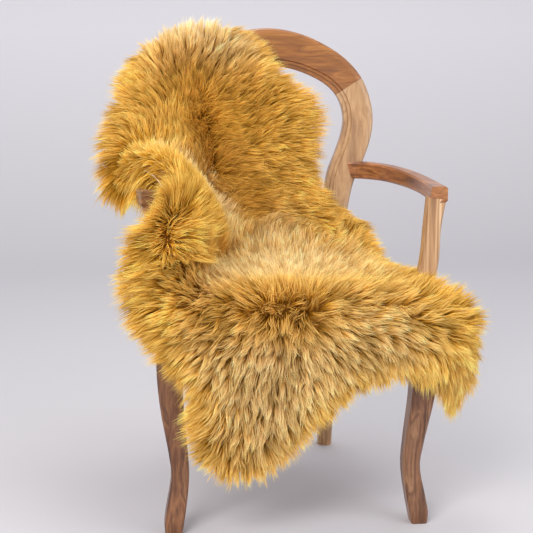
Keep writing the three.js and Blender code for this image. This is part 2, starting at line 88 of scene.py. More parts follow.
# Curves and the hide's sections
class Spline:
    """A centripetal Catmull-Rom curve through points, read at t from 0 to 1."""

    def __init__(self, points):
        p = np.asarray(points, float)
        self.points = np.vstack([2 * p[0] - p[1], p, 2 * p[-1] - p[-2]])
        self.pieces = len(p) - 1

    def at(self, t):
        x = np.clip(np.asarray(t, float), 0, 1) * self.pieces
        i = np.minimum(x.astype(int), self.pieces - 1)
        f = (x - i)[:, None]
        a, b, c, d = (self.points[i + k] for k in range(4))
        ab, bc, cd = (np.maximum(np.linalg.norm(q - p, axis=1), 1e-9)[:, None] ** 0.5
                      for p, q in ((a, b), (b, c), (c, d)))
        start = ((b - a) / ab - (c - a) / (ab + bc) + (c - b) / bc) * bc
        end = ((c - b) / bc - (d - b) / (bc + cd) + (d - c) / cd) * bc
        return (b + start * f + (3 * c - 3 * b - 2 * start - end) * f ** 2
                + (2 * b - 2 * c + start + end) * f ** 3)


SIDE_VIEW = Spline([(0, y, z) for y, z in (
    (300, 985), (281, 999), (262, 985), (252, 930), (236, 850), (223, 780), (207, 690), (193, 610),
    (172, 540), (130, 486), (70, 462), (10, SEAT_TOP + 3), (-50, SEAT_TOP + 0.9), (-130, SEAT_TOP + 0.9),
    (-226, SEAT_TOP + 6), (-256, SEAT_TOP), (-269, SEAT_TOP - 38), (-274, 330), (-275, 230), (-275, 120),
)])
SIDE_STEPS = 4000
SIDE_POINTS = SIDE_VIEW.at(np.linspace(0, 1, SIDE_STEPS + 1))
SIDE_REACH = np.concatenate([[0], np.cumsum(np.linalg.norm(np.diff(SIDE_POINTS, axis=0), axis=1))])


def on(x, down, lift=0):
    """A point on the chair's side view, by its way down from behind the crest, lifted off the chair."""
    i = int(np.clip(np.searchsorted(SIDE_REACH, down), 1, SIDE_STEPS - 1))
    share = (down - SIDE_REACH[i - 1]) / (SIDE_REACH[i] - SIDE_REACH[i - 1])
    p = SIDE_POINTS[i - 1] + share * (SIDE_POINTS[i] - SIDE_POINTS[i - 1])
    along = SIDE_POINTS[i] - SIDE_POINTS[i - 1]
    along = along / np.linalg.norm(along)
    return (x, p[1] + lift * along[2], p[2] - lift * along[1])


# One row to each line across the hide, from the neck to the tail. Its points: left edge, fold over the arm,
# dip, middle, side, corner, right edge.
SECTIONS = [
    [(-218, 318, 884), (-196, 316, 876), (-178, 315, 872), (-158, 315, 870), (-142, 315, 872),
     (-128, 315, 878), (-116, 316, 886)],
    [(-250, 306, 920), (-222, 306, 935), (-192, 306, 947), (-164, 306, 955), (-144, 306, 960),
     (-128, 306, 963), (-112, 307, 965)],
    [(-268, 274, 913), (-232, 273, 937), (-197, 274, 953), (-163, 276, 963), (-140, 277, 969),
     (-126, 278, 973), (-113, 278, 975)],
    [(-280, 257, 898), (-240, 256, 923), (-199, 254, 940), (-159, 254, 952), (-128, 256, 963),
     (-110, 257, 969), (-90, 258, 977)],
    [(-290, 240, 875), (-244, 237, 902), (-197, 237, 917), (-146, 245, 927), (-106, 250, 933),
     (-80, 252, 937), (-56, 254, 942)],
    [(-312, 190, 815), (-258, 208, 832), on(-190, 162, 3), on(-120, 154), on(-72, 150),
     on(-46, 149), on(-24, 148)],
    [(-332, 132, 752), (-272, 156, 774), on(-180, 232, 6), on(-98, 226), on(-28, 224),
     on(18, 223), on(60, 222)],
    [(-338, 80, 697), (-278, 108, 722), on(-162, 300, 20), on(-80, 294, 2), on(-10, 292),
     on(30, 293), on(66, 294)],
    [(-330, 18, 664), (-286, 40, 714), (-150, 140, 650), on(-62, 358, 6), on(0, 360),
     on(32, 361), on(62, 362)],
    [(-290, -104, 711), (-250, -72, 711), (-136, 98, 590), on(-44, 432, 10), on(20, 434, 4),
     on(54, 430, 3), on(86, 424, 3)],
    [(-254, -230, 665), (-212, -178, 645), (-118, 40, 522), on(-20, 510, 8), on(72, 512, 4),
     on(126, 508, 4), on(176, 500, 8)],
    [(-284, -234, 596), (-236, -222, 602), (-140, -30, 500), on(-8, 600, 5), on(90, 600, 3),
     on(150, 600, 3), on(206, 598, 5)],
    [(-302, -246, 528), (-244, -248, 546), (-158, -130, 484), on(0, 735, 2), on(100, 730),
     on(166, 728, 1), on(218, 722, 8)],
    [(-296, -260, 472), (-238, -264, 488), (-150, -218, 476), on(0, 860, 5), on(104, 856, 3),
     on(182, 850, 3), (224, -160, 474)],
    [(-282, -268, 438), (-222, -274, 450), (-138, -264, 458), on(2, 964, 3), on(112, 962, 3),
     (200, -268, 456), (242, -236, 474)],
    [(-246, -276, 398), (-196, -281, 404), (-124, -279, 410), (4, -276, 414), (122, -275, 412),
     (250, -282, 414), (313, -252, 438)],
    [(-190, -284, 328), (-154, -286, 334), (-96, -284, 346), (8, -281, 360), (124, -278, 374),
     (264, -276, 378), (338, -214, 374)],
    [(-186, -284, 248), (-146, -286, 238), (-84, -285, 250), (12, -283, 306), (122, -278, 352),
     (264, -276, 358), (342, -186, 314)],
    [(-172, -282, 188), (-138, -284, 163), (-82, -284, 174), (22, -283, 272), (122, -277, 342),
     (260, -275, 350), (326, -182, 264)],
]


def hide_grid(rows, columns):
    """The hide's skin side as points [row, column, xyz] in millimetres of the chair's own frame."""
    t = np.linspace(0, 1, rows + 1)
    lines = np.swapaxes(np.array(SECTIONS, float), 0, 1)
    lengthwise = np.stack([Spline(line).at(t) for line in lines], 1)
    s = np.linspace(0, 1, columns + 1)
    return np.stack([Spline(line).at(s) for line in lengthwise])


def unit(v):
    return v / np.maximum(np.linalg.norm(v, axis=-1, keepdims=True), 1e-9)


def soften(grid, times):
    """A grid of numbers, each evened out with its neighbours."""
    for _ in range(times):
        p = np.pad(grid, 1, mode="edge")
        grid = (2 * grid + p[:-2, 1:-1] + p[2:, 1:-1] + p[1:-1, :-2] + p[1:-1, 2:]) / 6
    return grid


def smooth(x):
    t = np.clip(x, 0, 1)
    return t * t * (3 - 2 * t)


HIDE = hide_grid(ROWS, COLUMNS)
ALONG = unit(np.gradient(HIDE, axis=0))
ACROSS = unit(np.gradient(HIDE, axis=1))
NORMAL = unit(np.cross(ALONG, ACROSS))


def distances(grid, axis):
    """Each point's way along the grid from its first edge and to its last one."""
    steps = np.linalg.norm(np.diff(grid, axis=axis), axis=2)
    pad = [(1, 0), (0, 0)] if axis == 0 else [(0, 0), (1, 0)]
    reach = np.cumsum(np.pad(steps, pad), axis=axis)
    last = reach[-1:, :] if axis == 0 else reach[:, -1:]
    return reach, last - reach


FROM_NECK, TO_TAIL = distances(HIDE, 0)
FROM_LEFT, TO_RIGHT = distances(HIDE, 1)
EDGE = np.minimum(np.minimum(FROM_NECK, TO_TAIL), np.minimum(FROM_LEFT, TO_RIGHT))


def hollowness(step):
    """1 over the radius in millimetres where the hide curls towards its wool."""
    p = np.pad(HIDE, ((step, step), (step, step), (0, 0)), mode="edge")
    n = np.pad(NORMAL, ((step, step), (step, step), (0, 0)), mode="edge")
    mid = slice(step, -step)

    def bend(a, b, c, d):
        chord = b - a
        return -np.sum((d - c) * chord, axis=2) / np.maximum(np.sum(chord ** 2, axis=2), 1)

    down = bend(p[:-2 * step, mid], p[2 * step:, mid], n[:-2 * step, mid], n[2 * step:, mid])
    side = bend(p[mid, :-2 * step], p[mid, 2 * step:], n[mid, :-2 * step], n[mid, 2 * step:])
    return np.maximum(np.maximum(down, side), 1e-6)


EVENINGS = 12  # rounds of evening out
HOLLOW = soften(hollowness(COARSE), EVENINGS)
WOOL = 70.0  # length of a lock
SHORTEST, AT_RIM = WOOL * 0.62, WOOL * 0.92  # length in tight hollows, and the least near the rim
HOLLOW_LENGTH = 1.5  # length of a lock to the radius of the hollow that it grows in
NEAR_RIM = 45.0  # millimetres
LENGTH = soften(np.clip(HOLLOW_LENGTH / HOLLOW, SHORTEST, WOOL), EVENINGS)
LENGTH = LENGTH + (AT_RIM - LENGTH) * smooth(1 - EDGE / NEAR_RIM) * (LENGTH < AT_RIM)

# The nap: which way the wool lies at places of the hide. A place is its share of the way from the neck to the
# tail and from left to right, and the angle is 0 towards the right edge and 90 towards the tail.
NAP = np.array([
    (0.06, 0.95, 20), (0.10, 1.00, 0), (0.14, 0.92, 345), (0.05, 0.50, 270), (0.05, 0.10, 230),
    (0.11, 0.20, 274), (0.12, 0.03, 262), (0.14, 0.52, 304), (0.17, 0.58, 294), (0.19, 0.89, 310),
    (0.19, 0.23, 280), (0.24, 0.02, 266), (0.24, 1.00, 324), (0.26, 0.00, 242), (0.26, 0.12, 254),
    (0.26, 0.64, 308), (0.28, 1.00, 328), (0.30, 0.00, 222), (0.30, 0.24, 250), (0.31, 0.15, 218),
    (0.32, 1.00, 334), (0.32, 0.01, 196), (0.34, 0.33, 336), (0.34, 0.73, 334), (0.35, 1.00, 350),
    (0.35, 0.60, 328), (0.36, 0.00, 180), (0.38, 0.21, 286), (0.38, 1.00, 350), (0.39, 0.46, 344),
    (0.41, 0.19, 282), (0.41, 0.62, 356), (0.42, 0.23, 282), (0.44, 0.27, 282), (0.44, 0.46, 36),
    (0.44, 1.00, 12), (0.47, 0.00, 210), (0.48, 0.12, 274), (0.48, 0.29, 302), (0.48, 0.59, 4),
    (0.49, 0.31, 310), (0.50, 0.87, 26), (0.51, 0.42, 30), (0.51, 0.34, 326), (0.54, 1.00, 28),
    (0.54, 0.00, 316), (0.55, 0.28, 232), (0.55, 0.76, 36), (0.56, 0.05, 278), (0.57, 0.00, 190),
    (0.58, 0.85, 292), (0.59, 0.18, 332), (0.61, 0.47, 276), (0.61, 0.05, 242), (0.61, 0.37, 212),
    (0.61, 0.60, 276), (0.62, 0.25, 224), (0.62, 0.02, 204), (0.63, 0.19, 26), (0.64, 0.00, 186),
    (0.66, 1.00, 338), (0.67, 0.21, 184), (0.68, 0.00, 202), (0.68, 0.75, 336), (0.69, 0.03, 194),
    (0.69, 0.16, 194), (0.70, 0.00, 190), (0.74, 0.48, 288), (0.74, 0.00, 174), (0.75, 0.30, 156),
    (0.75, 0.43, 258), (0.76, 0.60, 336), (0.76, 0.53, 312), (0.77, 0.38, 186), (0.77, 0.83, 358),
    (0.78, 0.00, 160), (0.79, 0.60, 4), (0.79, 0.67, 6), (0.79, 0.79, 356), (0.79, 0.96, 12),
    (0.80, 0.24, 162), (0.80, 0.57, 26), (0.81, 0.37, 140), (0.81, 0.72, 6), (0.81, 0.31, 154),
    (0.81, 0.82, 20), (0.81, 1.00, 344), (0.82, 0.07, 156), (0.83, 0.17, 150), (0.83, 0.41, 118),
    (0.83, 0.52, 56), (0.83, 0.57, 34), (0.83, 1.00, 6), (0.84, 0.46, 88), (0.85, 0.74, 42),
    (0.85, 0.83, 50), (0.86, 0.10, 140), (0.87, 0.24, 130), (0.87, 0.67, 54), (0.88, 0.36, 114),
    (0.89, 0.53, 68), (0.89, 0.44, 98), (0.89, 0.99, 58), (0.90, 0.88, 52), (0.91, 0.00, 126),
    (0.91, 0.18, 118), (0.92, 0.34, 118), (0.94, 0.00, 132), (0.94, 0.62, 86), (0.95, 0.46, 110),
    (0.95, 0.00, 134), (0.96, 0.17, 106), (0.99, 0.39, 114), (0.99, 0.52, 94), (1.00, 0.00, 92),
    (1.00, 0.15, 78), (1.00, 0.32, 108), (1.00, 0.45, 108), (1.00, 0.56, 92), (1.00, 0.70, 72),
    (1.00, 0.82, 90), (1.00, 0.85, 38), (1.00, 0.99, 56),
])
# The lines that the wool parts from, each through places along and across: one down the back, and two short
# ones that it spreads from like a star, on the fold and in the middle of the seat's front.
PARTINGS = [
    [(0.33, 0.375), (0.36, 0.38), (0.40, 0.36), (0.43, 0.35)],
    [(0.60, 0.10), (0.62, 0.11)],
    [(0.780, 0.492), (0.779, 0.455)],
]
SPAN = np.array([1240.0, 560.0])  # the hide's length and common width, for distances on it
DOWN = np.array([0.0, 0.0, -1.0])
NAP_BLUR, PARTING_BLUR = 15.0, 8.0  # millimetres within which a place or a parting has its full say
FADE = -1.6  # power by which its say falls with distance
PARTING_SAY, PARTING_TURN = 1.5, 3.0  # a parting's say, and the millimetres over which the wool turns there
FLAT_PULL = 0.7  # strength of the combined pull from which the wool lies flat
STANDING = 36.0  # millimetres round a parting within which the wool stands up


def from_line(points, line):
    """The steps to points from the nearest place of a line through several places."""
    best = np.full((len(points), 2), 1e6)
    for a, b in zip(line[:-1], line[1:]):
        share = np.clip((points - a) @ (b - a) / np.sum((b - a) ** 2), 0, 1)[:, None]
        step = points - a - share * (b - a)
        best = np.where((np.linalg.norm(step, axis=1) < np.linalg.norm(best, axis=1))[:, None], step, best)
    return best


def comb(rows, columns):
    """The way the wool leans, as parts across and along the hide, and how far, from 0 upright to 1 flat."""
    place = np.stack([rows / ROWS, columns / COLUMNS], 1) * SPAN
    pull = np.zeros((len(rows), 2))
    total = np.zeros(len(rows))
    nearest = np.full(len(rows), 1e9)
    for t, s, angle in NAP:
        share = (np.sum((place - np.array([t, s]) * SPAN) ** 2, axis=1) + NAP_BLUR ** 2) ** FADE
        turn = math.radians(angle)
        pull += share[:, None] * np.array([math.cos(turn), math.sin(turn)])
        total += share
    for line in PARTINGS:
        away = from_line(place, np.array(line) * SPAN)[:, ::-1]
        distance = np.linalg.norm(away, axis=1)
        share = PARTING_SAY * (distance ** 2 + PARTING_BLUR ** 2) ** FADE
        pull += share[:, None] * away / (distance + PARTING_TURN)[:, None]
        total += share
        nearest = np.minimum(nearest, distance)
    pull /= total[:, None]
    size = np.linalg.norm(pull, axis=1)
    lean = smooth(size / FLAT_PULL) * smooth(nearest / STANDING + 0.08)
    return pull / np.maximum(size, 1e-6)[:, None], lean


def mesh_object(name, points, faces):
    """A linked mesh object from points in metres and faces that all have the same number of corners."""
    points, faces = np.asarray(points, np.float32), np.asarray(faces, np.int32)
    mesh = bpy.data.meshes.new(name)
    mesh.vertices.add(len(points))
    mesh.vertices.foreach_set("co", points.ravel())
    mesh.loops.add(faces.size)
    mesh.loops.foreach_set("vertex_index", faces.ravel())
    mesh.polygons.add(len(faces))
    mesh.polygons.foreach_set("loop_start", np.arange(0, faces.size, faces.shape[1], dtype=np.int32))
    mesh.polygons.foreach_set("use_smooth", np.ones(len(faces), dtype=bool))
    mesh.update(calc_edges=True)
    obj = bpy.data.objects.new(name, mesh)
    bpy.context.scene.collection.objects.link(obj)
    return obj


def metres(points):
    return points * MM + SHIFT


# Tones of the wool as screen values: root, middle and tip of a lock. The pale tips are the dyed wool's own; the
# dark roots are partly its deeper tone and partly painted shade, the shade that falls deep between the locks.
TONES = {
    "gold": ((120, 73, 6), (223, 163, 42), (252, 216, 120)),
    "bright": ((140, 88, 10), (238, 180, 54), (255, 222, 122)),
    "deep": ((106, 62, 3), (198, 136, 24), (236, 188, 82)),
    # umber_shade: painted shade, a darker tone laid where shade falls in the valley at the fold's foot and in a
    # dip of the hide
    "umber_shade": ((88, 50, 2), (168, 110, 20), (214, 160, 66)),
    "pale": ((162, 112, 38), (242, 200, 114), (255, 235, 188)),
    "khaki": ((58, 33, 3), (184, 126, 40), (255, 231, 172)),
}
EVERYWHERE = 1e9
GOLD_RIM, RIM_WIDE = 1.6, 50.0  # weight of the gold along the rim, and how far it reaches in
# Where each tone prevails: its place as shares along and across the hide, reach in millimetres, weight.
ZONES = [
    ("gold", (0.5, 0.5), EVERYWHERE, 0.25),
    # On the crest's top the pale tone is partly the paler dyed wool and partly painted highlight, the light
    # that falls on the top.
    ("pale", (0.13, 0.50), 105, 10.0),
    ("pale", (0.20, 0.80), 60, 2.0),
    ("deep", (0.23, 0.36), 50, 1.0),
    ("deep", (0.28, 0.37), 60, 1.0),
    ("deep", (0.36, 0.38), 60, 1.0),
    # Painted shade: the umber tone darkens the valley at the fold's foot.
    ("umber_shade", (0.43, 0.40), 36, 1.2),
    ("gold", (0.40, 0.75), 110, 0.8),
    ("gold", (0.37, 0.06), 90, 1.0),
    ("pale", (0.46, 0.26), 26, 1.2),
    ("pale", (0.51, 0.30), 26, 1.3),
    ("pale", (0.56, 0.33), 24, 1.3),
    ("umber_shade", (0.50, 0.43), 44, 2.2),
    ("deep", (0.56, 0.20), 45, 1.0),
    ("gold", (0.55, 0.70), 60, 1.0),
    ("bright", (0.61, 0.08), 70, 2.4),
    ("bright", (0.72, 0.04), 60, 1.0),
    ("gold", (0.68, 0.05), 50, 0.8),
    ("pale", (0.62, 0.55), 80, 1.2),
    ("pale", (0.66, 0.85), 90, 0.2),
    ("pale", (0.70, 0.40), 60, 0.6),
    ("deep", (0.782, 0.46), 46, 0.9),
    ("deep", (0.790, 0.34), 44, 1.0),
    # Painted shade in the hide's dip on the seat's left.
    ("umber_shade", (0.66, 0.24), 34, 0.8),
    ("khaki", (0.86, 0.42), 90, 1.0),
    ("khaki", (0.93, 0.32), 90, 1.0),
    ("deep", (0.97, 0.25), 60, 0.6),
    ("khaki", (0.86, 0.70), 70, 0.8),
    ("bright", (0.90, 0.93), 80, 1.6),
    ("deep", (0.33, 0.55), 90, 1.2),
    ("pale", (0.93, 0.90), 60, 0.5),
]


def zone_colours(rows, columns):
    """Root, middle and tip colours, as linear light, of the wool at places of the hide."""
    place = np.stack([rows / ROWS, columns / COLUMNS], 1)
    mixed = [np.zeros((len(rows), 3)) for _ in range(3)]
    total = np.zeros(len(rows))
    rim = GOLD_RIM * (1 - smooth(grid_at(EDGE, rows, columns) / RIM_WIDE))
    for tone, centre, reach, weight in ZONES:
        away = np.linalg.norm((place - np.array(centre)) * SPAN, axis=1)
        share = weight * np.exp(-((away / reach) ** 2))
        if reach == EVERYWHERE:
            share += rim
        total += share
        for out, colour in zip(mixed, TONES[tone]):
            out += share[:, None] * linear(*colour)
    return [c / total[:, None] for c in mixed]


def waves(points, scale, seed):
    """Soft random rise and fall over space, mostly between -1 and 1, the same each run."""
    rng = np.random.default_rng(seed)
    total = np.zeros(len(points))
    for _ in range(6):
        way = unit(rng.normal(size=3))
        pitch = 2 * math.pi / (scale * rng.uniform(0.7, 1.5))
        total += np.sin(points @ way * pitch + rng.uniform(0, 6.28))
    return total / 3.0


def from_partings(rows, columns):
    """Millimetres on the hide from places to the nearest parting."""
    place = np.stack([rows / ROWS, columns / COLUMNS], 1) * SPAN
    steps = [from_line(place, np.array(line) * SPAN) for line in PARTINGS]
    return np.min([np.linalg.norm(step, axis=1) for step in steps], axis=0)


def grid_at(grid, rows, columns):
    """A grid read between its points."""
    i = np.minimum(rows.astype(int), ROWS - 1)
    j = np.minimum(columns.astype(int), COLUMNS - 1)
    f, g = rows - i, columns - j
    if grid.ndim == 3:
        f, g = f[:, None], g[:, None]
    return ((1 - f) * ((1 - g) * grid[i, j] + g * grid[i, j + 1])
            + f * ((1 - g) * grid[i + 1, j] + g * grid[i + 1, j + 1]))


CELLS = np.linalg.norm(np.cross(HIDE[1:, :-1] - HIDE[:-1, :-1], HIDE[:-1, 1:] - HIDE[:-1, :-1]), axis=2)
DENSER_RIM, DENSER_PARTING = 0.9, 1.1  # how much denser the wool is along the rim and round a parting
DENSE_PARTING = 34.0  # millimetres round a parting


def scatter(count, rng):
    """Evenly thrown places on the hide, as rows and columns of the grid."""
    rim = 1 - smooth((EDGE[1:, 1:] + EDGE[:-1, :-1]) / 90)
    places = np.indices(CELLS.shape).reshape(2, -1) + 0.5
    parted = np.exp(-(from_partings(*places) / DENSE_PARTING) ** 2).reshape(CELLS.shape)
    edges = np.cumsum((CELLS * (1 + DENSER_RIM * rim + DENSER_PARTING * parted)).ravel())
    picks = (np.arange(count) + rng.uniform(0, 1, count)) / count * edges[-1]
    k = np.minimum(np.searchsorted(edges, picks), CELLS.size - 1)
    return k // COLUMNS + rng.uniform(0, 1, count), k % COLUMNS + rng.uniform(0, 1, count)


RIM_REACH = 60.0  # millimetres from an edge within which the wool turns outward
ROOT_ANGLE, TIP_ANGLE = (10, 20), (24, 46)  # degrees off upright: of all wool, and more where it lies flat
RIM_ROOT, RIM_TIP, RIM_SAG = 0.9, 0.8, 0.3  # how the rim turns a lock's root and tip, and lets the tip sag
FLAP = (0.36, 0.565)  # the rows between which the left rim hangs straight down, past the arm
FALLING = (1.0, 2.6)  # how hard such wool is pulled down at its root and its tip
UNDER_ARM = np.array([0.9, 0.0, 0.0])  # where the fold ends, its tips turn this way
TOUSLED, TOUSLE = 30.0, 1.6  # millimetres round a parting where the wool strays more, and how much more

# Longer and shorter wool along the rim: the edge, a place on it as a share of its length, reach, share of
# the wool's length.
RIM_WOOL = [
    ("left", 0.36, 0.06, 0.3), ("left", 0.49, 0.02, 0.06), ("left", 0.58, 0.03, 0.6),
    ("right", 0.33, 0.08, 0.2), ("right", 0.61, 0.05, -0.2), ("right", 0.96, 0.05, 0.3),
    ("tail", 0.90, 0.08, 0.25),
]
VALLEY, VALLEY_REACH = (0.475, 0.37), 45.0  # the fold's foot, where the wool is pressed short


def hump(x, centre, reach):
    """1 at the centre, falling to nothing on both sides."""
    return np.exp(-((x - centre) / reach) ** 2)


def spare_length(rows, columns, edge, hang, corner, inward):
    """How much longer the wool is at places of the hide than LENGTH says, as a share of it."""
    t, s = rows / ROWS, columns / COLUMNS
    spare = 0.2 * hang - 0.3 * corner - 0.1 * inward
    for name, centre, reach, share in RIM_WOOL:
        spare += share * edge[name] * hump(s if name == "tail" else t, centre, reach)
    # Shorter at the fold's foot and over the back's right half.
    valley = np.hypot((t - VALLEY[0]) * SPAN[0], (s - VALLEY[1]) * SPAN[1])
    back = smooth((t - 0.22) / 0.06) * smooth((0.62 - t) / 0.06) * smooth((s - 0.36) / 0.1)
    back = back * smooth(grid_at(EDGE, rows, columns) / 90)
    spare -= 0.3 * hump(valley, 0, VALLEY_REACH) + 0.16 * back
    # Shorter along the tail, but for the right lobe, and at the lobe's outer corner.
    spare -= edge["tail"] * (0.12 * smooth((0.8 - s) / 0.1) + 0.1 * smooth((s - 0.96) / 0.04))
    return spare


def growth(rows, columns, rng, stray):
    """Root, normal, first and last direction and length of the wool that grows at places of the hide."""
    root = grid_at(HIDE, rows, columns)
    normal = unit(grid_at(NORMAL, rows, columns))
    across = unit(grid_at(ACROSS, rows, columns))
    along = unit(np.cross(normal, across))
    along *= np.sign(np.sum(along * grid_at(ALONG, rows, columns), axis=1))[:, None]
    way2, lean = comb(rows, columns)
    way = across * way2[:, :1] + along * way2[:, 1:]
    tousled = hump(from_partings(rows, columns), 0, TOUSLED)
    wobble = rng.normal(size=root.shape) * stray * (1 + TOUSLE * tousled)[:, None]
    start, end = (np.radians(upright + flat * lean)[:, None] for upright, flat in (ROOT_ANGLE, TIP_ANGLE))
    first = normal * np.cos(start) + way * np.sin(start)
    last = normal * np.cos(end) + way * np.sin(end)
    reaches = {"tail": TO_TAIL, "neck": FROM_NECK, "right": TO_RIGHT, "left": FROM_LEFT}
    edge = {name: 1 - smooth(grid_at(g, rows, columns) / RIM_REACH) for name, g in reaches.items()}
    rim = along * (edge["tail"] - edge["neck"])[:, None] + across * (edge["right"] - edge["left"])[:, None]
    sag = DOWN * RIM_SAG * np.max(list(edge.values()), axis=0)[:, None]
    first = unit(first + rim * RIM_ROOT + wobble * 0.6)
    last = unit(last + rim * RIM_TIP + sag + wobble)

    # Wool that hangs straight down: past the arm, at the right lobe and at the crest's right corner.
    t, s = rows / ROWS, columns / COLUMNS
    over_arm = 0.4 * smooth((t - FLAP[0]) / 0.06) + 1.0 * smooth((t - 0.44) / 0.03)
    corner = edge["right"] * hump(t, 0.13, 0.06)
    hang = edge["left"] * over_arm * smooth((FLAP[1] - t) / 0.04)
    hang += 0.35 * edge["tail"] * smooth((s - 0.76) / 0.08) + 0.4 * corner
    inward = edge["left"] * hump(t, 0.455, 0.03)
    first = unit(first + DOWN * FALLING[0] * hang[:, None])
    last = unit(last + DOWN * FALLING[1] * hang[:, None] + UNDER_ARM * inward[:, None])
    spare = spare_length(rows, columns, edge, hang, corner, inward)
    return root, normal, first, last, grid_at(LENGTH, rows, columns) * (1 + spare)


def course(root, first, last, length, s):
    """Points of a lock at share s of its length, [lock, s, xyz]."""
    s = s[None, :, None]
    reach = length[:, None, None]
    return root[:, None] + reach * (first[:, None] * (s - s ** 2 / 2) + last[:, None] * s ** 2 / 2)


def swing(first, normal, phase, turns, curl, s):
    """The sideways wave of a lock along its length, [lock, s, xyz]."""
    side = unit(np.cross(first, normal) + 1e-6)
    beat = np.sin(phase[:, None] + 2 * math.pi * turns[:, None] * s[None]) * (curl[:, None] * s[None] ** 0.8)
    return side[:, None] * beat[..., None]


def wave_phase(root, unlike, rng):
    """Where each wave starts, nearly alike for neighbours."""
    return 3.0 * waves(root, 70, 21) + rng.normal(0, unlike, len(root))


TUFTS = 4600  # groups of locks that lean together
TIGHT, TIGHT_FRONT, TIGHT_RIM = 0.22, 0.56, 0.3  # how tightly: on the back, more in front, and at the rim
TUFT_TURNS, TUFT_CURL = (1.0, 1.4), (3.5, 7.5)  # waves to a tuft's length, and their swing in millimetres
LOCK_TURNS, LOCK_CURL = (0.9, 1.3), (3.0, 6.8)
LOCK_LENGTHS, STRAND_LENGTHS = (0.78, 1.08), (0.76, 1.06)  # shares of the wool's and of the lock's length
LOCK_STRAY, STRAND_STRAY = 0.10, 0.16  # how far directions stray
FROM_ROOT = 0.12  # share of a strand's length that stays hidden in the under wool
INNER = 45.0  # millimetres from the edge from which locks hold together in full
FRONT = (0.70, 0.1)  # the share of the rows from which the tufts are tighter, and over how much
HELD, HELD_WELL, HELD_LOOSELY = 0.8, (0.76, 0.95), (0.3, 0.6)  # how many strands keep to their lock, how well
ROOT_SPREAD = (0.5, 0.8)  # rows and columns over which a lock's strands are rooted
SPREAD, KINK = 1.3, 0.4  # millimetres that strands stand apart, and that they are bent
THICKNESS = ([0, 0.2, 0.5, 0.75, 1], [0.8, 1.0, 0.95, 0.7, 0.0])  # a strand's width from its root to its tip


def tuft_guides(s):
    """The middle line of each tuft, and a tree to find the nearest tuft to a root."""
    rng = np.random.default_rng(3)
    rows, columns = scatter(TUFTS, rng)
    root, normal, first, last, length = growth(rows, columns, rng, STRAND_STRAY)
    tree = KDTree(TUFTS)
    for i, p in enumerate(root):
        tree.insert(Vector(p), i)
    tree.balance()
    phase = wave_phase(root, 0.8, rng)
    turns, curl = rng.uniform(*TUFT_TURNS, TUFTS), rng.uniform(*TUFT_CURL, TUFTS)
    return tree, course(root, first, last, length, s) + swing(first, normal, phase, turns, curl, s)


def lock_guides(rows, columns, s, stretch, rng):
    """Roots, lengths and middle lines of locks, the tuft nearest to each, and how far inside it is."""
    root, normal, first, last, length = growth(rows, columns, rng, LOCK_STRAY)
    length = length * rng.uniform(*LOCK_LENGTHS, len(root)) * stretch
    curl = rng.uniform(*LOCK_CURL, len(root))
    phase = wave_phase(root, 0.6, rng)
    turns = rng.uniform(*LOCK_TURNS, len(root))
    guide = course(root, first, last, length, s) + swing(first, normal, phase, turns, curl, s)
    tree, lines = tuft_guides(s)
    near = np.array([tree.find(Vector(p))[1] for p in root])
    inner = smooth(grid_at(EDGE, rows, columns) / INNER)
    front = smooth((rows / ROWS - FRONT[0]) / FRONT[1])
    tight = (TIGHT + TIGHT_FRONT * front) * (TIGHT_RIM + (1 - TIGHT_RIM) * inner)
    together = smooth(s)[None, :, None] * tight[:, None, None]
    return root, length, guide * (1 - together) + lines[near] * together, near, inner


def ribbons(name, path, normal, middle, half):
    """Flat strands along paths as one mesh, facing away from the hide and from their lock's middle."""
    count, points = path.shape[:2]
    segments = points - 1
    tangent = unit(np.gradient(path, axis=1))
    outward = unit(path[:, segments // 2] - middle)
    flat = unit(np.cross(tangent, (normal + outward * 0.7)[:, None]))
    left = path - flat * half[..., None]
    right = path + flat * half[..., None]
    # Two points at each ring but the last, and one at the tip.
    rings = np.stack([left[:, :-1], right[:, :-1]], 2).reshape(count, -1, 3)
    verts = np.concatenate([rings, path[:, -1:]], 1)
    one = []
    for a in range(0, 2 * (segments - 1), 2):
        one += [(a, a + 1, a + 3), (a, a + 3, a + 2)]
    a = 2 * (segments - 1)
    one.append((a, a + 1, a + 2))
    per = 2 * segments + 1
    faces = (np.array(one)[None] + (np.arange(count) * per)[:, None, None]).reshape(-1, 3)
    return mesh_object(name, metres(verts.reshape(-1, 3)), faces)


MIDDLE_FROM, MIDDLE_OVER = 0.1, 0.55  # share of the length where the root's tone gives way to the middle's
TIP_FROM, TIP_OVER = 0.5, 0.5  # and the middle's to the tip's
SHADES, DEEPENING = (0.6, 1.45), (0.85, 1.0, 1.4)  # bounds of the shade, and its power on red, green and blue
# How much lighter or deeper places, locks, tufts and single strands are, and how much warmer locks are.
LOCAL_SHADE, LOCK_SHADE, TUFT_SHADE, STRAND_SHADE, WARMTH = 0.13, 0.12, 0.15, 0.06, 0.06


